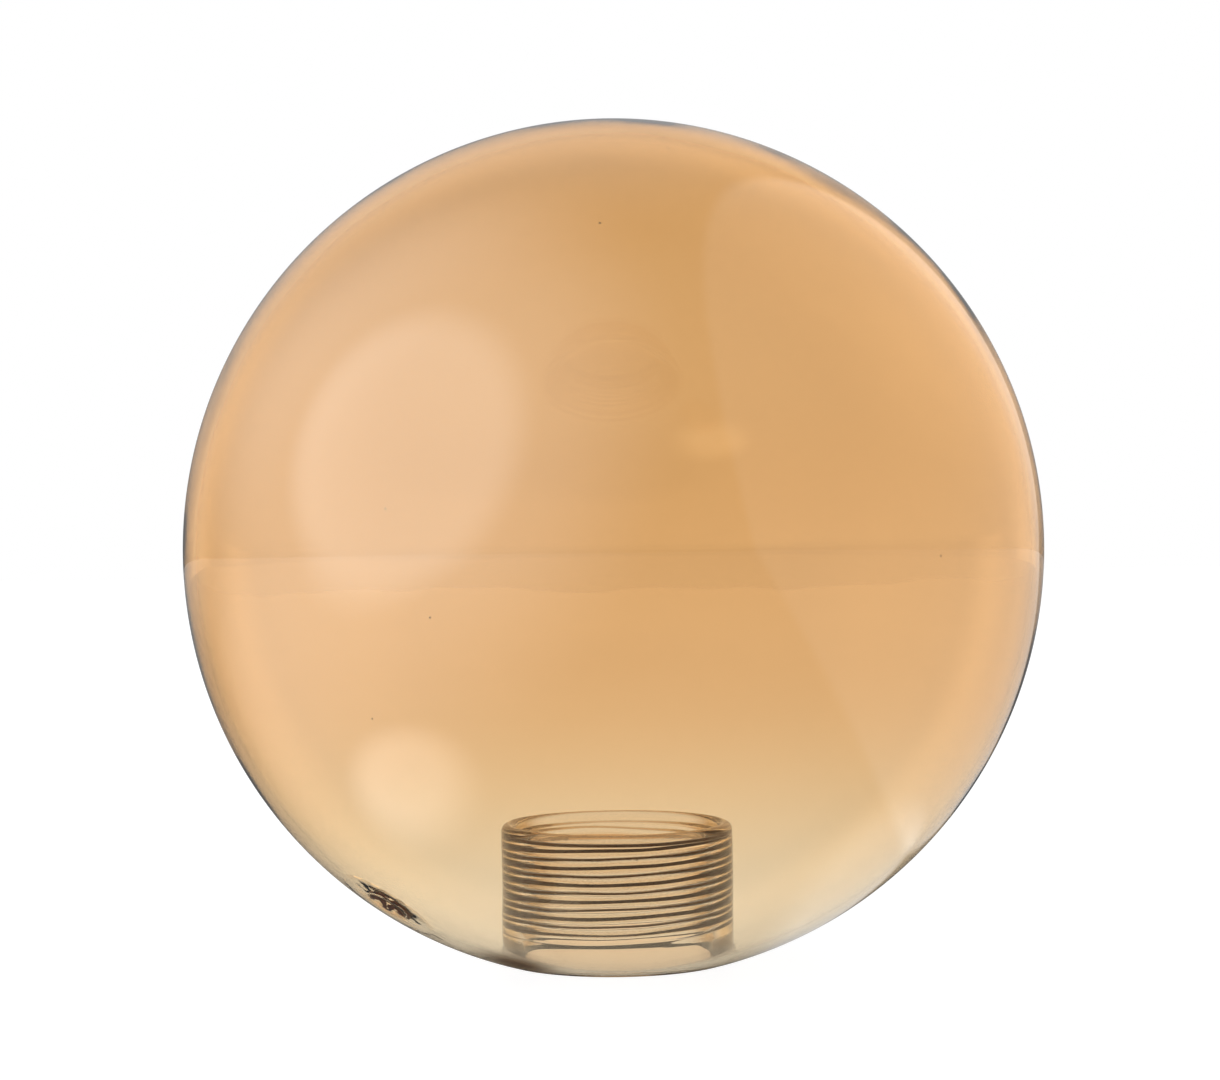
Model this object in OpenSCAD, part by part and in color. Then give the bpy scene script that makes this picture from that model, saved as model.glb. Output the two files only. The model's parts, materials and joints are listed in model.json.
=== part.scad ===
// Blown glass globe shade with a threaded glass collar fused inside its mouth.
// Millimetres, +Z up. The origin is the centre of the mouth, in the plane of the
// ring the shade stands on. The lampholder screws into the collar from below.

/* [Globe] */
// outside diameter of the blown globe
globe_d = 120; // [100:1:150]
// thickness of the blown wall at the top of the globe
globe_wall = 2.0; // [1.6:0.1:2.6]
// thickness the wall thins to at the mouth
mouth_wall = 1.2; // [1:0.1:1.6]

/* [Collar] */
// outside diameter of the collar tube, which fills the mouth of the globe
collar_d = 32.8; // [32:0.2:36]
// height of the collar above the mouth
collar_h = 19.3; // [18.1:0.2:23.9]
// clear diameter between the thread crests
crest_d = 25.4; // [24.4:0.2:26]
// height of the plain entry below the first turn of thread
entry_h = 4.4; // [3:0.1:5]
// clear diameter inside the plain lip above the thread
lip_d = 28.6; // [28.2:0.2:29.4]
// height of the plain lip
lip_h = 1.8; // [1.2:0.1:2.4]

/* [Thread] */
// rise of the single-start right-hand thread in one turn
pitch = 2.3; // [2:0.1:2.8]
// depth of the groove below the crests
groove_depth = 0.8; // [0.5:0.1:1]
// share of each turn that is left standing as crest
crest_share = 0.56; // [0.52:0.02:0.64]
// direction in which the groove leaves the plain entry, in degrees around the collar
start_angle = 200; // [0:5:355]

/* [Fused seam] */
// width of the ring of melted glass between the collar and the globe
seam_w = 2.2; // [1.5:0.1:4]

/* [Sealed vent] */
// radius of the glass drop that closes the blowing vent
seal_r = 3.6; // [2:0.1:5]
// height of the drop above the inside of the globe
seal_h = 1.3; // [0.8:0.1:2]
// direction of the drop around the globe, in degrees
seal_turn = 212; // [0:2:358]
// angle of the drop below the middle of the globe, in degrees
seal_fall = 52; // [40:1:60]

/* [Hidden] */
outer_r = globe_d / 2;
// the inside is a smaller ball set lower than the outside, so the wall thins downwards
inner_r = outer_r - (globe_wall + mouth_wall) / 2;
collar_r = collar_d / 2;
crest_r = crest_d / 2;
root_r = crest_r + groove_depth;
entry_play = 0.05;
entry_r = root_r + entry_play;
// the globe's outside meets the collar's outside in the plane z = 0
centre_z = sqrt(outer_r * outer_r - collar_r * collar_r);
inner_z = centre_z - (globe_wall - mouth_wall) / 2;
seam_out_r = collar_r + seam_w;
lip_r = lip_d / 2;
rim_r = (collar_r - lip_r) / 2;
// the thread ends here, and a short cone opens it to the lip
crest_top = collar_h - lip_h;
lip_cone = 0.4;
// how far cutting shapes pass the faces they open
past = 1;

// groove: width at the crest, slope of its flanks, and how far the cutter reaches inwards
groove_w = pitch * (1 - crest_share);
flank = 0.26;
reach_in = 0.6;
groove_z0 = entry_h - 0.75 * pitch;
groove_z1 = crest_top + lip_cone + groove_w;
steps_per_turn = 40;
groove_steps = ceil((groove_z1 - groove_z0) / pitch * steps_per_turn);

// drop: the small ball that, cut by the inside of the globe, gives its radius and height
seal_plane = sqrt(inner_r * inner_r - seal_r * seal_r);
seal_cap = seal_h - (inner_r - seal_plane);
seal_ball = (seal_r * seal_r + seal_cap * seal_cap) / (2 * seal_cap);
seal_centre = inner_r - seal_h + seal_ball;

$fn = 96;

// one corner of the groove cutter: k = 0, 1 below and 2, 3 above; 1, 2 are the outer ones
function groove_point(i, k) =
    let (
        a = start_angle + 360 * i / steps_per_turn,
        z = groove_z0 + pitch * i / steps_per_turn,
        r = (k == 1 || k == 2) ? root_r : crest_r - reach_in,
        half = groove_w / 2 - flank * (r - crest_r),
        up = k < 2 ? -1 : 1
    )
    [r * cos(a), r * sin(a), z + up * half];

module groove_cutter() {
    corners = [
        for (i = [0 : groove_steps])
            for (k = [0 : 3])
                groove_point(i, k)
    ];
    sides = [
        for (i = [0 : groove_steps - 1])
            for (k = [0 : 3])
                let (
                    a = 4 * i + k,
                    b = 4 * i + (k + 1) % 4
                )
                each [[a, b, b + 4], [a, b + 4, a + 4]]
    ];
    last = 4 * groove_steps;
    ends = [
        [3, 2, 1],
        [3, 1, 0],
        [last, last + 1, last + 2],
        [last, last + 2, last + 3]
    ];
    polyhedron(points = corners, faces = concat(sides, ends), convexity = 10);
}

module collar_section() {
    difference() {
        union() {
            translate([crest_r, 0]) square([collar_r - crest_r, collar_h - rim_r]);
            translate([lip_r + rim_r, collar_h - rim_r]) circle(r = rim_r);
        }
        // plain entry
        polygon([
            [crest_r - past, -past],
            [entry_r, -past],
            [entry_r, entry_h],
            [crest_r, entry_h + entry_r - crest_r],
            [crest_r - past, entry_h + entry_r - crest_r]
        ]);
        // plain lip
        polygon([
            [crest_r - past, crest_top],
            [crest_r, crest_top],
            [lip_r, crest_top + lip_cone],
            [lip_r, collar_h + past],
            [crest_r - past, collar_h + past]
        ]);
    }
}

module globe() {
    color([0.86, 0.66, 0.42, 0.45])
    difference() {
        translate([0, 0, centre_z]) sphere(r = outer_r);
        translate([0, 0, inner_z]) sphere(r = inner_r);
        translate([0, 0, -outer_r / 2]) cylinder(r = seam_out_r, h = outer_r);
    }
}

module threaded_collar() {
    color([0.80, 0.60, 0.38, 0.5])
    difference() {
        rotate_extrude() collar_section();
        groove_cutter();
    }
}

module fused_seam() {
    color([0.55, 0.38, 0.22, 0.6])
    rotate_extrude($fn = 180)
    difference() {
        intersection() {
            translate([collar_r, -past]) square([seam_w, outer_r / 2]);
            translate([0, centre_z]) circle(r = outer_r, $fn = 1440);
        }
        translate([0, inner_z]) circle(r = inner_r, $fn = 1440);
    }
}

module seal_drop() {
    color([0.70, 0.48, 0.26, 0.6])
    translate([0, 0, inner_z])
    rotate([0, 90 + seal_fall, seal_turn])
    rotate_extrude($fn = 180)
    intersection() {
        translate([0, inner_r - 2 * seal_h]) square([2 * seal_r, 3 * seal_h]);
        circle(r = inner_r, $fn = 1440);
        translate([0, seal_centre]) circle(r = seal_ball, $fn = 360);
    }
}

globe();
threaded_collar();
fused_seam();
seal_drop();
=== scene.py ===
"""A blown glass globe shade with a threaded glass collar fused inside its mouth.

Metres, in the CAD frame: +Z up, origin at the centre of the mouth, -Y towards the camera.
"""
import json
import math

import bmesh
import bpy
import numpy as np
from mathutils import Matrix, Vector, noise


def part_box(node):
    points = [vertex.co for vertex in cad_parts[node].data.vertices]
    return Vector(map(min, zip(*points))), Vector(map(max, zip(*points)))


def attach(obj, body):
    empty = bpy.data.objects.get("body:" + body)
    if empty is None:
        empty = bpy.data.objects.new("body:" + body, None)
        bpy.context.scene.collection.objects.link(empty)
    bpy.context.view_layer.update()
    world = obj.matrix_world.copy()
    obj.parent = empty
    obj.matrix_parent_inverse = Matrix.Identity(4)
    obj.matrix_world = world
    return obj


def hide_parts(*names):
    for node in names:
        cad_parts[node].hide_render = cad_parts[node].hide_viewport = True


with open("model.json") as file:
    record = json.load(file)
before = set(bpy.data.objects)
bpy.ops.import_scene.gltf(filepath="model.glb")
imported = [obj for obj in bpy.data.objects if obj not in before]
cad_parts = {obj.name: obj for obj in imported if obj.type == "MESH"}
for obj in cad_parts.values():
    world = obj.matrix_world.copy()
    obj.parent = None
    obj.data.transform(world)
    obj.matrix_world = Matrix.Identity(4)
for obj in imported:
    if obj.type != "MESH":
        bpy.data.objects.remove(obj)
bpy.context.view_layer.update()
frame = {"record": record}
MM = 0.001

# ---------------------------------------------------------------- sizes from the CAD
GLOBE_LO, GLOBE_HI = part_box("globe")
COLLAR_LO, COLLAR_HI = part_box("threaded_collar")
SEAM_LO, SEAM_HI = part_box("fused_seam")
THREAD = next(m for m in frame["record"]["mounts"] if m["name"] == "lampholder_thread")

COLLAR_R = COLLAR_HI[0]
TOP_Z = GLOBE_HI[2]
OUTER_R = (TOP_Z ** 2 + COLLAR_R ** 2) / (2 * TOP_Z)
CENTRE_Z = TOP_Z - OUTER_R
WALL_TOP, WALL_MOUTH = 2.0 * MM, 1.2 * MM
INNER_R = OUTER_R - (WALL_TOP + WALL_MOUTH) / 2
INNER_Z = CENTRE_Z - (WALL_TOP - WALL_MOUTH) / 2
SEAM_OUT_R = SEAM_HI[0]

RIM_Z = COLLAR_HI[2]
CREST_R = THREAD["dims"]["r_mm"] * MM
ROOT_R = CREST_R + 0.8 * MM
THREAD_TOP = THREAD["pos_m"][2] + THREAD["dims"]["length_mm"] * MM / 2
PITCH = 2.3 * MM
THREAD_PHASE = 0.085

# ---------------------------------------------------------------- details only seen here
LIP_R = 14.3 * MM
LIP_STEP = 0.5 * MM
ENTRY_ROUND = 0.5 * MM
# the thread's ridge grows out of the plain entry between these heights
RIDGE_FADE = (2.6 * MM, 7.2 * MM)
RIDGE_END = 0.35 * MM
# shares of a pitch: width of the two flanks, and where the second one starts
WIDE_FLANK, NARROW_FLANK, NARROW_START = 0.25, 0.18, 0.54
CROWN, VALLEY = 0.14, 0.12
FILLET = 0.12 * MM

# the seal: direction from the middle of the globe, reach, and the mesh of its patch
SEAL_LO, SEAL_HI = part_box("seal_drop")
SEAL_DIR = (Vector(SEAL_LO) + Vector(SEAL_HI)) / 2 - Vector((0, 0, CENTRE_Z))
SEAL_DIR.normalize()
SEAL_SPREAD = 7.0 * MM
SEAL_CLEAR = 1.6 * MM
SEAL_RINGS = 22
SEAL_COLUMNS = 64

# small bubbles in the near side of the wall: direction across, direction up, radius in mm
SEEDS = [
    (-0.02, 0.68, 0.16), (-0.46, 0.09, 0.14), (0.68, -0.02, 0.13), (-0.37, -0.13, 0.13),
    (-0.50, -0.34, 0.12), (0.05, 0.965, 0.18), (0.04, -0.64, 0.15), (0.13, 0.87, 0.12),
    (-0.88, 0.14, 0.12), (-0.97, 0.065, 0.14),
]

GLOBE_ROWS = 200
BORE_ROWS = 520
ROUND_STEPS = 288
COLLAR_STEPS = 360

# ---------------------------------------------------------------- colours and lights
# tints of the glass at a height in mm; one pass through the wall takes the square root
AMBER = [
    (0.0, (0.95, 0.82, 0.61)),
    (14.0, (0.88, 0.685, 0.42)),
    (26.0, (0.80, 0.512, 0.25)),
    (38.0, (0.745, 0.43, 0.187)),
    (70.0, (0.685, 0.37, 0.136)),
]
CLEAR = [(0.0, (0.98, 0.96, 0.93)), (118.0, (0.99, 0.98, 0.96))]
BURNT = [(0.0, (0.90, 0.74, 0.55)), (20.0, (0.86, 0.66, 0.45))]
GLASS_IOR = 1.5
SMEAR = 0.006

# painted shade standing in for light turned back inside the glass: share taken, its dark amber colour,
# and how steep a dark flank is
PAINTED_SHADE_SHARE, PAINTED_SHADE_AMBER = 1.0, (0.12, 0.036, 0.0)
FLANK_LEAN = (0.25, 0.6)
# painted shade in the foot of the collar's wall: share taken
FOOT_PAINTED_SHADE = 0.8
# painted edge shade: the collar's wall seen edge on gets amber, standing in for the longer way through
# the glass
EDGE_FACING, EDGE_PAINTED_AMBER = (0.25, 0.6), (0.50, 0.30, 0.12)
# the flame mark beside the mouth: middle and reach in mm, how ragged its edge is, colour
SCORCH_AT, SCORCH_REACH, SCORCH_RAG = (-13.5, -17.0, 2.0), (3.0, 9.5), 3.0
SCORCH = (0.16, 0.11, 0.08)

# direction, half angle and half width of the edge in degrees, strength
THROUGH_LIGHTS = [
    ((0.0, 1.0, 0.10), 46.0, 10.0, 1.32),
    ((0.0, 1.0, 0.08), 13.0, 12.0, -0.28),
    ((1.0, 0.3, 0.0), 34.0, 16.0, 0.8),
    ((-1.0, 0.3, 0.0), 34.0, 16.0, 0.8),
    ((0.0, -1.0, 0.2), 60.0, 30.0, 0.35),
    ((0.30, 0.90, 0.32), 11.0, 8.0, 0.45),
]
MIRROR_LIGHTS = [
    ((-0.80, -0.46, 0.38), 31.0, 6.0, 1.9),
    ((-0.80, -0.46, 0.38), 42.0, 32.0, 2.5),
    ((0.971, 0.072, 0.23), 59.5, 1.5, 0.5),
    ((-0.45, 0.60, 0.66), 34.0, 22.0, 0.6),
    ((0.30, 0.90, 0.25), 14.0, 11.0, 0.3),
]
# on the floor: centre across and deep, radius, half width of the edge in mm, strength; the spots are
# painted pools of light (strength up) and painted shade (strength down), the first list seen through the
# glass, the second mirrored in it as painted highlights
FLOOR_GREY, FLOOR_GLOW = 0.06, 0.95
FLOOR_PAINTED_LIGHT_SHADE = [
    ((-55.0, -50.0), 19.0, 9.0, 1.5),
    ((0.0, -112.0), 72.0, 40.0, -0.5),
    ((125.0, -60.0), 65.0, 40.0, -0.3),
]
MIRROR_PAINTED_HIGHLIGHTS = [
    ((-55.0, -50.0), 19.0, 9.0, 1.7),
    ((43.0, -3.0), 23.0, 7.0, 0.55),
]
# painted amber pool of light on the floor inside the mouth
MOUTH_PAINTED_POOL, MOUTH_AMBER = ((0.0, 0.0), 15.2, 0.8, 1.0), (0.95, 0.74, 0.52)


def turn_angles(count=ROUND_STEPS):
    return np.linspace(0.0, 2.0 * math.pi, count, endpoint=False)


def ease(x):
    x = np.clip(x, 0.0, 1.0)
    return x * x * (3 - 2 * x)


# ---------------------------------------------------------------- mesh helpers
def grid_mesh(name, rings, row_slots):
    """A closed mesh of rings (rows, columns, 3); the last row joins the first."""
    rows, columns, _ = rings.shape
    faces, slots = [], []
    for i in range(rows):
        j = (i + 1) % rows
        for a in range(columns):
            b = (a + 1) % columns
            faces.append((i * columns + a, i * columns + b, j * columns + b, j * columns + a))
            slots.append(row_slots[i])
    mesh = bpy.data.meshes.new(name)
    mesh.from_pydata(rings.reshape(-1, 3).tolist(), [], faces)
    mesh.polygons.foreach_set("material_index", slots)
    mesh.update()
    piece = bpy.data.objects.new(name, mesh)
    bpy.context.collection.objects.link(piece)
    return piece


def lathe(name, rows, slots, turn):
    """Rings around +Z from (radius, height) rows; both may hold one value or one per column."""
    r = np.array([np.broadcast_to(row[0], turn.shape) for row in rows])
    z = np.array([np.broadcast_to(row[1], turn.shape) for row in rows])
    return grid_mesh(name, np.stack([r * np.cos(turn), r * np.sin(turn), z], axis=2), slots)


def finish_mesh(piece, materials, extra=None):
    bm = bmesh.new()
    bm.from_mesh(piece.data)
    bmesh.ops.remove_doubles(bm, verts=bm.verts, dist=1e-7)
    if extra:
        extra(bm)
    bmesh.ops.recalc_face_normals(bm, faces=bm.faces)
    fused = len(materials) - 1
    for face in bm.faces:
        face.smooth = True
    for edge in bm.edges:
        sides = {face.material_index == fused for face in edge.link_faces}
        edge.smooth = len(sides) == 1
    bm.to_mesh(piece.data)
    bm.free()
    for m in materials:
        piece.data.materials.append(m)
    return piece


def arc(cx, cz, radius, start, stop, count):
    angles = np.linspace(start, stop, count)
    return [(cx + radius * math.cos(a), cz + radius * math.sin(a)) for a in angles]


def outside_row(fall):
    """Row of the outside of the globe, fall = angle from straight down."""
    return OUTER_R * math.sin(fall), CENTRE_Z - OUTER_R * math.cos(fall)


def inside_row(fall):
    """Row of the inside, a ball set lower than the outside: the wall thins towards the mouth."""
    return INNER_R * math.sin(fall), INNER_Z - INNER_R * math.cos(fall)


def inside_height(radius):
    return INNER_Z - math.sqrt(INNER_R ** 2 - radius ** 2)


# ---------------------------------------------------------------- node helpers
def math_node(nt, operation, a, b=None):
    node = nt.nodes.new("ShaderNodeMath")
    node.operation = operation
    for slot, value in ((0, a), (1, b)):
        if value is None:
            continue
        if isinstance(value, (int, float)):
            node.inputs[slot].default_value = value
        else:
            nt.links.new(value, node.inputs[slot])
    return node.outputs[0]


def vector_node(nt, operation, a, b=None):
    node = nt.nodes.new("ShaderNodeVectorMath")
    node.operation = operation
    nt.links.new(a, node.inputs[0])
    if b is not None:
        node.inputs[1].default_value = b
    scalar = operation in ("DOT_PRODUCT", "DISTANCE", "LENGTH")
    return node.outputs["Value" if scalar else "Vector"]


def smooth_step(nt, value, start, stop, low, high):
    node = nt.nodes.new("ShaderNodeMapRange")
    node.interpolation_type = "SMOOTHSTEP"
    for name, number in (("From Min", start), ("From Max", stop), ("To Min", low), ("To Max", high)):
        node.inputs[name].default_value = number
    nt.links.new(value, node.inputs["Value"])
    return node.outputs["Result"]


def number_mix(nt, factor, a, b):
    """a where the factor is 0, b where it is 1."""
    node = nt.nodes.new("ShaderNodeMix")
    node.data_type = "FLOAT"
    nt.links.new(factor, node.inputs["Factor"])
    for slot, value in ((2, a), (3, b)):
        if isinstance(value, (int, float)):
            node.inputs[slot].default_value = value
        else:
            nt.links.new(value, node.inputs[slot])
    return node.outputs[0]


def colour_mix(nt, factor, base, colour, blend="MIX"):
    node = nt.nodes.new("ShaderNodeMix")
    node.data_type = "RGBA"
    node.blend_type = blend
    nt.links.new(factor, node.inputs["Factor"])
    if isinstance(base, tuple):
        node.inputs[6].default_value = (*base, 1.0)
    else:
        nt.links.new(base, node.inputs[6])
    node.inputs[7].default_value = (*colour, 1.0)
    return node.outputs[2]


def object_place(nt, output="Object"):
    return nt.nodes.new("ShaderNodeTexCoord").outputs[output]


def height_of(nt, vector):
    split = nt.nodes.new("ShaderNodeSeparateXYZ")
    nt.links.new(vector, split.inputs[0])
    return split.outputs["Z"]


# ---------------------------------------------------------------- materials
def principled(name):
    mat = bpy.data.materials.new(name)
    mat.use_nodes = True
    return mat, mat.node_tree, mat.node_tree.nodes["Principled BSDF"]


def tinted_by_height(nt, stops):
    low, high = stops[0][0], stops[-1][0]
    height = nt.nodes.new("ShaderNodeMapRange")
    height.inputs["From Min"].default_value = low * MM
    height.inputs["From Max"].default_value = high * MM
    ramp = nt.nodes.new("ShaderNodeValToRGB")
    ramp.color_ramp.interpolation = "B_SPLINE"
    while len(ramp.color_ramp.elements) < len(stops):
        ramp.color_ramp.elements.new(0.5)
    for element, (z, colour) in zip(ramp.color_ramp.elements, stops):
        element.position = (z - low) / (high - low)
        element.color = (*colour, 1.0)
    nt.links.new(height_of(nt, object_place(nt)), height.inputs["Value"])
    nt.links.new(height.outputs["Result"], ramp.inputs[0])
    return ramp.outputs["Color"]


def cloud(nt):
    noise_node = nt.nodes.new("ShaderNodeTexNoise")
    noise_node.inputs["Scale"].default_value = 60.0
    noise_node.inputs["Detail"].default_value = 3.0
    nt.links.new(object_place(nt), noise_node.inputs["Vector"])
    return noise_node.outputs["Fac"]


def glass(name, stops):
    """Clear glass whose tint follows the height: stops of (height in mm, colour)."""
    mat, nt, p = principled(name)
    p.inputs["IOR"].default_value = GLASS_IOR
    p.inputs["Transmission Weight"].default_value = 1.0
    nt.links.new(tinted_by_height(nt, stops), p.inputs["Base Color"])
    p.inputs["Roughness"].default_value = 0.0
    return mat


def repaint(mat, factor, colour, blend="MIX"):
    nt = mat.node_tree
    p = nt.nodes["Principled BSDF"]
    base = p.inputs["Base Color"].links[0].from_socket
    nt.links.new(colour_mix(nt, factor, base, colour, blend), p.inputs["Base Color"])


def paint_caught_light_shade(mat, mask):
    """Painted shade where mask is up and the Fresnel value is high: dark amber, with transmission and
    specular level lowered, standing in for light turned back inside the glass that goes a long way
    through it.
    """
    nt = mat.node_tree
    p = nt.nodes["Principled BSDF"]
    fresnel = nt.nodes.new("ShaderNodeFresnel")
    fresnel.inputs["IOR"].default_value = GLASS_IOR
    caught = smooth_step(nt, fresnel.outputs[0], 0.3, 0.8, 0.0, PAINTED_SHADE_SHARE)
    share = math_node(nt, "MULTIPLY", mask, caught)
    passed = math_node(nt, "SUBTRACT", 1.0, share)
    nt.links.new(passed, p.inputs["Transmission Weight"])
    nt.links.new(math_node(nt, "MULTIPLY", passed, 0.5), p.inputs["Specular IOR Level"])
    repaint(mat, share, PAINTED_SHADE_AMBER)


def thread_glass():
    """Clear glass with painted shade: amber painted where the wall is seen edge on, and dark painted
    shade on the thread's steep flanks and in the wall's foot.
    """
    mat = glass("thread_glass", CLEAR)
    nt = mat.node_tree
    # painted edge shade: amber where the wall is seen edge on
    weight = nt.nodes.new("ShaderNodeLayerWeight")
    weight.inputs["Blend"].default_value = 0.5
    repaint(mat, smooth_step(nt, weight.outputs["Facing"], *EDGE_FACING, 0.0, 1.0), EDGE_PAINTED_AMBER)
    # painted shade on the thread's steep flanks
    lean = math_node(nt, "ABSOLUTE", height_of(nt, object_place(nt, "Normal")))
    steep = smooth_step(nt, lean, *FLANK_LEAN, 0.0, 1.0)
    height = height_of(nt, object_place(nt))
    above = smooth_step(nt, height, 1.2 * MM, 1.6 * MM, 0.0, 1.0)
    below = smooth_step(nt, height, THREAD_TOP + 0.4 * MM, THREAD_TOP + 0.7 * MM, 1.0, 0.0)
    flank = math_node(nt, "MULTIPLY", steep, math_node(nt, "MULTIPLY", above, below))
    # painted shade in the foot of the wall
    foot = smooth_step(nt, height, 3.0 * MM, 3.6 * MM, FOOT_PAINTED_SHADE, 0.0)
    paint_caught_light_shade(mat, math_node(nt, "MAXIMUM", flank, foot))
    return mat


def seam_glass():
    """Clear glass, with painted dark shade in the narrow crease where the globe meets the collar."""
    mat = glass("seam_glass", CLEAR)
    nt = mat.node_tree
    radius = vector_node(nt, "LENGTH", vector_node(nt, "MULTIPLY", object_place(nt), (1, 1, 0)))
    # painted shade in the crease
    crease = smooth_step(nt, radius, COLLAR_R + 0.2 * MM, COLLAR_R + 0.4 * MM, 1.0, 0.0)
    paint_caught_light_shade(mat, crease)
    return mat


def seal_glass():
    """Glass of the seal, with painted dark shade in the middle where the drop is thick and folded."""
    mat = glass("flame_sealed_glass", BURNT)
    nt = mat.node_tree
    away = vector_node(nt, "DISTANCE", object_place(nt), seal_point(0, 0, 0))
    # painted shade in the middle of the drop
    paint_caught_light_shade(mat, smooth_step(nt, away, 2.4 * MM, 3.2 * MM, 1.0, 0.0))
    return mat


def amber_glass():
    """The globe's amber, faintly smeared, with the brown flame mark beside the mouth."""
    mat = glass("amber_lustre", AMBER)
    nt = mat.node_tree
    smear = smooth_step(nt, cloud(nt), 0.45, 0.8, 0.0, SMEAR)
    smear.node.interpolation_type = "LINEAR"
    nt.links.new(smear, nt.nodes["Principled BSDF"].inputs["Roughness"])
    away = vector_node(nt, "DISTANCE", object_place(nt), Vector(SCORCH_AT) * MM)
    reach = math_node(nt, "ADD", away, math_node(nt, "MULTIPLY", cloud(nt), SCORCH_RAG * MM))
    near, far = SCORCH_REACH
    repaint(mat, smooth_step(nt, reach, near * MM, far * MM, 1.0, 0.0), SCORCH, "MULTIPLY")
    return mat


def fused_contact():
    """Faces where two pieces are one glass: nothing is seen of them."""
    mat, nt, p = principled("fused_contact")
    p.inputs["Alpha"].default_value = 0.0
    return mat


# ---------------------------------------------------------------- globe
def wall_wave(direction):
    """Slow change of the wall's thickness in mm, from the blowing."""
    return 0.06 * noise.noise(direction * 2.1) + 0.012 * noise.noise(direction * 7.0)


def wave_inside(bm):
    low = SEAM_OUT_R / INNER_R
    for v in bm.verts:
        out = v.co - Vector((0, 0, INNER_Z))
        if abs(out.length - INNER_R) > 0.05 * MM:
            continue
        way = out.normalized()
        side = math.hypot(way.x, way.y)
        free = 1.0 if way.z > 0 else float(ease((side - low - 0.03) / 0.2))
        free *= float(ease((way.angle(SEAL_DIR) * INNER_R - SEAL_SPREAD - 2.5 * MM) / (6 * MM)))
        v.co = v.co + way * (wall_wave(way) * MM * free)


def seal_frame():
    side = SEAL_DIR.cross(Vector((0, 0, 1))).normalized()
    return side, SEAL_DIR.cross(side).normalized()


def seal_point(rho, phi, sink):
    """Point over the inside of the globe, rho from the seal's middle, sink towards the centre."""
    side, other = seal_frame()
    fall = rho / INNER_R
    way = SEAL_DIR * math.cos(fall) + (side * math.cos(phi) + other * math.sin(phi)) * math.sin(fall)
    return Vector((0, 0, INNER_Z)) + way * (INNER_R - sink)


def seal_angles():
    return [2 * math.pi * k / SEAL_COLUMNS for k in range(SEAL_COLUMNS)]


def open_patch(bm):
    """Gives the inside of the globe a round patch of its own where the seal is melted on."""
    middle = seal_point(0, 0, 0)
    inner = [f for f in bm.faces if f.material_index == 1]
    near = [f for f in inner if (f.calc_center_median() - middle).length < SEAL_SPREAD + SEAL_CLEAR]
    bmesh.ops.delete(bm, geom=near, context="FACES")
    hole = [e for e in bm.edges if e.is_boundary]
    rings = []
    for i in range(SEAL_RINGS, 0, -1):
        rho = SEAL_SPREAD * i / SEAL_RINGS
        rings.append([bm.verts.new(seal_point(rho, phi, 0)) for phi in seal_angles()])
    centre = bm.verts.new(middle)
    for i in range(SEAL_RINGS):
        for k in range(SEAL_COLUMNS):
            n = (k + 1) % SEAL_COLUMNS
            if i + 1 < SEAL_RINGS:
                face = bm.faces.new((rings[i][k], rings[i][n], rings[i + 1][n], rings[i + 1][k]))
            else:
                face = bm.faces.new((rings[i][k], rings[i][n], centre))
            face.material_index = 2
    edge = [bm.edges.get((rings[0][k], rings[0][(k + 1) % SEAL_COLUMNS])) for k in range(SEAL_COLUMNS)]
    made = bmesh.ops.bridge_loops(bm, edges=hole + edge)
    for face in made["faces"]:
        face.material_index = 1


def add_seeds(bm):
    """Bubbles: their faces look into the bubble, so the wall is closed around them."""
    for across, up, size in SEEDS:
        deep = -math.sqrt(max(0.0, 1 - across ** 2 - up ** 2))
        middle = Vector((across, deep, up)) * (OUTER_R - WALL_MOUTH / 2) + Vector((0, 0, CENTRE_Z))
        place = Matrix.Translation(middle)
        ball = bmesh.ops.create_icosphere(bm, subdivisions=3, radius=size * MM, matrix=place)
        faces = {f for v in ball["verts"] for f in v.link_faces}
        for f in faces:
            f.material_index = 1
            f.smooth = True
        bmesh.ops.reverse_faces(bm, faces=list(faces))


def make_globe(outside, inside, contact):
    mouth_out, mouth_in = math.asin(SEAM_OUT_R / OUTER_R), math.asin(SEAM_OUT_R / INNER_R)
    rows = [outside_row(a) for a in np.linspace(mouth_out, math.pi, GLOBE_ROWS)]
    rows += [inside_row(a) for a in np.linspace(math.pi, mouth_in, GLOBE_ROWS)]
    slots = [0] * (GLOBE_ROWS - 1) + [1] * GLOBE_ROWS + [2]
    piece = lathe("globe_shell", rows, slots, turn_angles())

    def details(bm):
        open_patch(bm)
        wave_inside(bm)

    finish_mesh(piece, (outside, inside, contact), details)
    bm = bmesh.new()
    bm.from_mesh(piece.data)
    add_seeds(bm)
    bm.to_mesh(piece.data)
    bm.free()
    return piece


# ---------------------------------------------------------------- collar
def bump(p, start, stop):
    """A rounded bump between start and stop, 1 at its middle."""
    half = (stop - start) / 2
    return 1 - np.clip((p - start - half) / half, -1, 1) ** 2


def ridge(phase):
    """The thread's ridge along one pitch, 0 to 1, one flank wider than the other."""
    p = phase % 1.0
    rise = ease(p / WIDE_FLANK)
    fall = ease((p - NARROW_START) / NARROW_FLANK)
    crown = bump(p, WIDE_FLANK, NARROW_START)
    valley = bump(p, NARROW_START + NARROW_FLANK, 1.0)
    return rise - fall + CROWN * crown - VALLEY * valley


def bore_radius(turn, z):
    """Radius of the threaded bore all the way round at one height."""
    wobble = 0.018 * np.sin(3 * turn + z / MM) + 0.012 * np.sin(7 * turn - 2.3 * z / MM)
    phase = (z - THREAD_TOP) / PITCH - turn / (2 * math.pi) + wobble + THREAD_PHASE
    plain = ROOT_R + (LIP_R - ROOT_R) * ease((z - THREAD_TOP - 0.05 * MM) / LIP_STEP)
    start, full = RIDGE_FADE
    height = ease((z - start) / (full - start)) ** 1.6
    height *= ease((THREAD_TOP + 0.25 * MM - z) / RIDGE_END)
    return plain - (ROOT_R - CREST_R) * ridge(phase) * height


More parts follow.
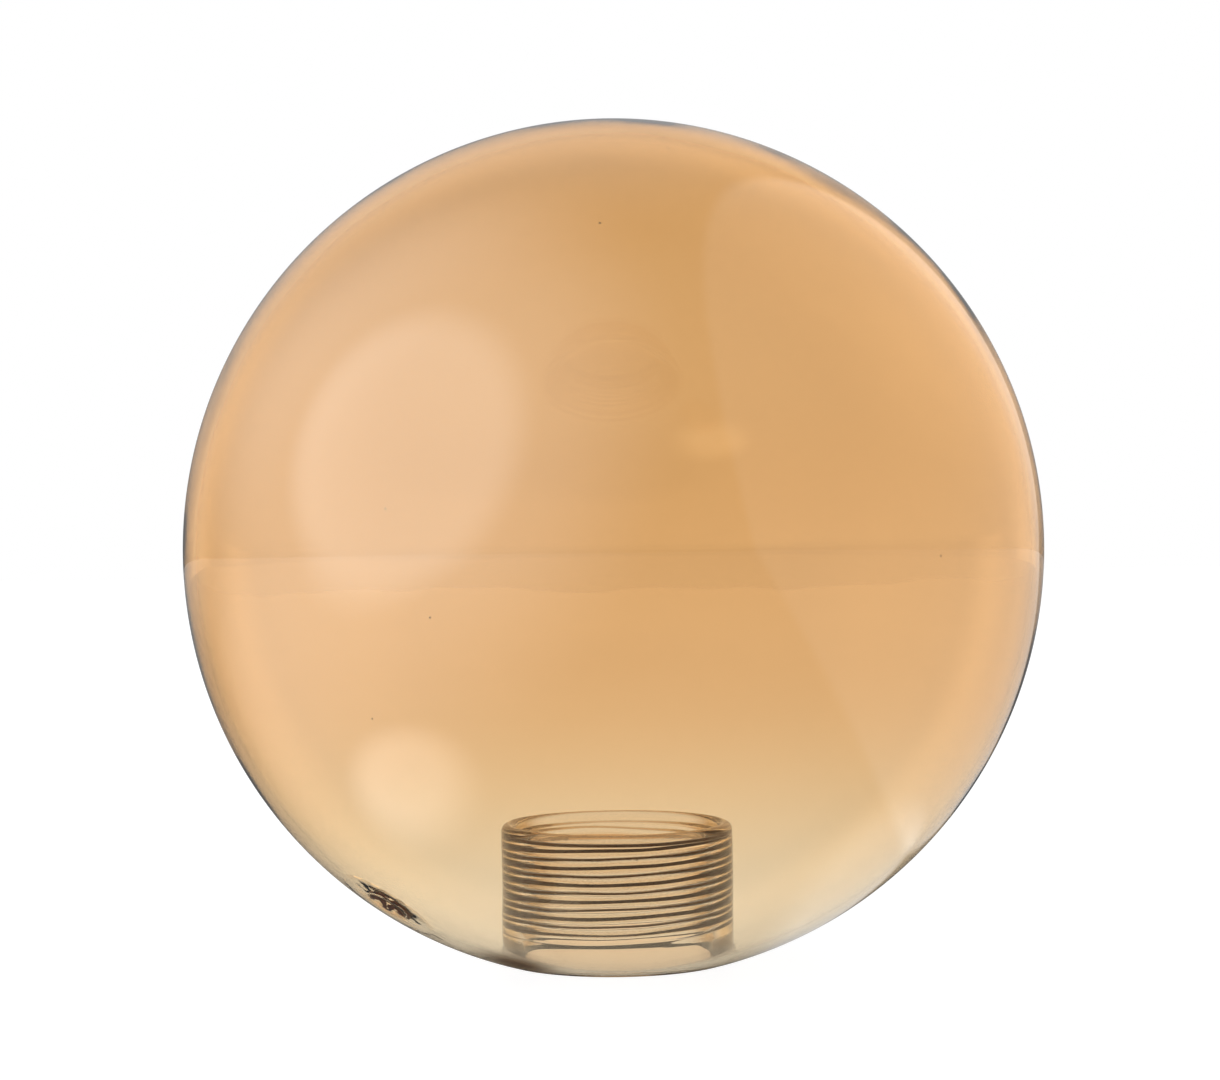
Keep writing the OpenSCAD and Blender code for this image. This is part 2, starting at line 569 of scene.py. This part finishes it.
def make_collar(clear, contact):
    turn = turn_angles(COLLAR_STEPS)
    lip = (COLLAR_R - LIP_R) / 2
    foot = inside_height(COLLAR_R) + FILLET
    rows = [(COLLAR_R, z) for z in np.linspace(0, foot, 5)]
    slots = [1] * 4
    rows += [(COLLAR_R, z) for z in np.linspace(foot, RIM_Z - lip, 60)[1:]]
    rows += arc(LIP_R + lip, RIM_Z - lip, lip, 0, math.pi, 30)[1:]
    for z in np.linspace(RIM_Z - lip, ENTRY_ROUND, BORE_ROWS)[1:]:
        rows.append((bore_radius(turn, z), z))
    rows += arc(ROOT_R + ENTRY_ROUND, ENTRY_ROUND, ENTRY_ROUND, math.pi, 1.5 * math.pi, 9)[1:]
    slots += [0] * (len(rows) - 4)
    piece = lathe("collar_tube", rows, slots, turn)
    return finish_mesh(piece, (clear, contact))


def make_seam(outside, clear, contact):
    """The ring of melted glass between the collar and the mouth of the globe."""
    cx = COLLAR_R + FILLET
    cz = INNER_Z - math.sqrt((INNER_R - FILLET) ** 2 - cx ** 2)
    touch = math.atan2(cz - INNER_Z, cx)
    foot = inside_height(COLLAR_R) + FILLET
    rows = [(COLLAR_R, z) for z in np.linspace(0, foot, 5)[:-1]]
    slots = [2] * 4
    rounded = arc(cx, cz, FILLET, math.pi, 2 * math.pi + touch, 9)
    rounded[0] = (COLLAR_R, foot)
    rows += rounded
    start = math.asin((cx + FILLET * math.cos(touch)) / INNER_R)
    inner = [inside_row(a) for a in np.linspace(start, math.asin(SEAM_OUT_R / INNER_R), 14)]
    rows += inner[1:]
    slots += [1] * (len(rows) - 5) + [2]
    low = math.asin(COLLAR_R / OUTER_R)
    outer = [outside_row(a) for a in np.linspace(math.asin(SEAM_OUT_R / OUTER_R), low, 14)]
    rows += outer[:-1]
    slots += [0] * (len(outer) - 1)
    piece = lathe("seam_ring", rows, slots[:len(rows)], turn_angles())
    return finish_mesh(piece, (outside, clear, contact))


# ---------------------------------------------------------------- sealed vent
def seal_height(rho, phi):
    """Height of the seal in mm: a low skirt, a drop in its middle and the hooked groove in the drop."""
    u = rho / SEAL_SPREAD
    skirt = 0.14 * (1 - u * u) ** 2
    x, y = rho * math.cos(phi) / MM, rho * math.sin(phi) / MM
    drop = 1.0 * math.exp(-((x / 2.9) ** 2 + (y / 2.3) ** 2) ** 2)
    bend = y - 0.7 * math.sin(x * 1.1)
    groove = 0.85 * math.exp(-(bend / 0.8) ** 2) * math.exp(-(x / 2.2) ** 4)
    rough = 0.12 * noise.noise(Vector((x, y, 3.0)) * 0.9) * math.exp(-(rho / (3.6 * MM)) ** 2)
    return (skirt + drop - groove + rough) * (1 - u ** 8)


def make_seal(clear, contact):
    bm = bmesh.new()
    for top in (False, True):
        rings = []
        for i in range(SEAL_RINGS, 0, -1):
            rho = SEAL_SPREAD * i / SEAL_RINGS
            sinks = [seal_height(rho, phi) * MM if top else 0 for phi in seal_angles()]
            ring = [seal_point(rho, phi, sink) for phi, sink in zip(seal_angles(), sinks)]
            rings.append([bm.verts.new(point) for point in ring])
        centre = bm.verts.new(seal_point(0, 0, seal_height(0, 0) * MM if top else 0))
        for i in range(SEAL_RINGS):
            for k in range(SEAL_COLUMNS):
                n = (k + 1) % SEAL_COLUMNS
                inner = (rings[i + 1][n], rings[i + 1][k]) if i + 1 < SEAL_RINGS else (centre,)
                face = bm.faces.new((rings[i][k], rings[i][n], *inner))
                face.material_index = 0 if top else 1
    mesh = bpy.data.meshes.new("seal_blob")
    bm.to_mesh(mesh)
    bm.free()
    piece = bpy.data.objects.new("seal_blob", mesh)
    bpy.context.collection.objects.link(piece)
    return finish_mesh(piece, (clear, contact))


# ---------------------------------------------------------------- studio
def soft_disc(nt, vector, light):
    direction, edge, soft, power = light
    dot = vector_node(nt, "DOT_PRODUCT", vector, Vector(direction).normalized())
    outer = math.cos(math.radians(min(edge + soft, 180.0)))
    inner = math.cos(math.radians(max(edge - soft, 0.0)))
    return smooth_step(nt, dot, outer, inner, 0.0, power)


def lights_sum(nt, vector, lights):
    total = 0.0
    for light in lights:
        total = math_node(nt, "ADD", soft_disc(nt, vector, light), total)
    return total


def floor_spot(nt, place, spot):
    (x, y), radius, soft, power = spot
    away = vector_node(nt, "DISTANCE", place, (x * MM, y * MM, 0))
    far, near = (radius + soft) * MM, max(radius - soft, 0) * MM
    return smooth_step(nt, away, far, near, 0.0, power)


def spots_sum(nt, place, spots, total):
    for spot in spots:
        total = math_node(nt, "ADD", floor_spot(nt, place, spot), total)
    return total


def make_floor():
    """Pale glowing floor; mirrored in the glass it carries painted reflections of the lamps on below the
    horizon, and through the glass it shows painted pools of light and shade and a painted amber pool
    inside the mouth.
    """
    bpy.ops.mesh.primitive_plane_add(size=8.0, location=(0, 0, 0))
    floor = bpy.context.object
    floor.name = "floor"
    mat, nt, p = principled("pale_floor")
    p.inputs["Base Color"].default_value = (FLOOR_GREY, FLOOR_GREY, FLOOR_GREY, 1.0)
    p.inputs["Roughness"].default_value = 0.6
    place = object_place(nt)
    # painted pools of light and shade, seen only through the glass
    through = spots_sum(nt, place, FLOOR_PAINTED_LIGHT_SHADE, FLOOR_GLOW)
    # painted reflections of the lamps and painted highlights, seen only mirrored in the glass
    way = vector_node(nt, "NORMALIZE", vector_node(nt, "SUBTRACT", place, (0, 0, CENTRE_Z)))
    mirrored = spots_sum(nt, place, MIRROR_PAINTED_HIGHLIGHTS, lights_sum(nt, way, MIRROR_LIGHTS))
    path = nt.nodes.new("ShaderNodeLightPath")
    straight = math_node(nt, "SUBTRACT", 1.0, path.outputs["Is Transmission Ray"])
    reflected = math_node(nt, "MULTIPLY", path.outputs["Is Glossy Ray"], straight)
    seen = math_node(nt, "MAXIMUM", number_mix(nt, reflected, through, mirrored), 0.0)
    seen = number_mix(nt, path.outputs["Is Camera Ray"], seen, FLOOR_GLOW)
    nt.links.new(seen, p.inputs["Emission Strength"])
    # painted amber pool of light inside the mouth
    glow = colour_mix(nt, floor_spot(nt, place, MOUTH_PAINTED_POOL), (1.0, 1.0, 1.0), MOUTH_AMBER)
    nt.links.new(glow, p.inputs["Emission Color"])
    floor.data.materials.append(mat)


def make_world():
    """The surroundings: lamps where they are mirrored, a softer set through the glass, else white."""
    world = bpy.data.worlds.new("studio")
    bpy.context.scene.world = world
    world.use_nodes = True
    nt = world.node_tree
    nt.nodes.clear()
    out = nt.nodes.new("ShaderNodeOutputWorld")
    background = nt.nodes.new("ShaderNodeBackground")
    background.inputs["Color"].default_value = (1, 1, 1, 1)
    way = object_place(nt, "Generated")
    path = nt.nodes.new("ShaderNodeLightPath")
    seen = lights_sum(nt, way, MIRROR_LIGHTS)
    seen = number_mix(nt, path.outputs["Is Transmission Ray"], seen, lights_sum(nt, way, THROUGH_LIGHTS))
    seen = number_mix(nt, path.outputs["Is Diffuse Ray"], seen, 1.0)
    seen = number_mix(nt, path.outputs["Is Camera Ray"], seen, 1.0)
    nt.links.new(seen, background.inputs["Strength"])
    nt.links.new(background.outputs[0], out.inputs[0])


def make_camera():
    cam = bpy.data.cameras.new("camera")
    ob = bpy.data.objects.new("camera", cam)
    bpy.context.collection.objects.link(ob)
    distance, up = 0.360, math.radians(0.2)
    back = Vector((0, -math.cos(up), math.sin(up)))
    ob.location = Vector((0, 0, CENTRE_Z)) + back * distance
    ob.rotation_mode = "QUATERNION"
    roll = Matrix.Rotation(math.radians(-0.7), 4, "Z").to_quaternion()
    ob.rotation_quaternion = (-back).to_track_quat("-Z", "Y") @ roll
    cam.sensor_width = 36.0
    cam.lens = 75.2
    cam.shift_x = -3.5 / 1220
    cam.shift_y = 9.0 / 1220
    cam.clip_start, cam.clip_end = 0.01, 50
    bpy.context.scene.camera = ob


def keep(piece, slot, *nodes):
    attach(piece, "root")
    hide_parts(*nodes)


amber, clear, contact = amber_glass(), glass("clear_glass", CLEAR), fused_contact()
keep(make_globe(amber, clear, contact), "globe_glass", "globe")
keep(make_collar(thread_glass(), contact), "collar_glass", "threaded_collar")
keep(make_seam(amber, seam_glass(), contact), "seam_glass", "fused_seam")
keep(make_seal(seal_glass(), contact), "seal_glass", "seal_drop")
make_floor()
make_world()
make_camera()

scene = bpy.context.scene
scene.view_settings.view_transform = "Standard"
scene.cycles.max_bounces = 32
scene.cycles.transmission_bounces = 32
scene.cycles.transparent_max_bounces = 32
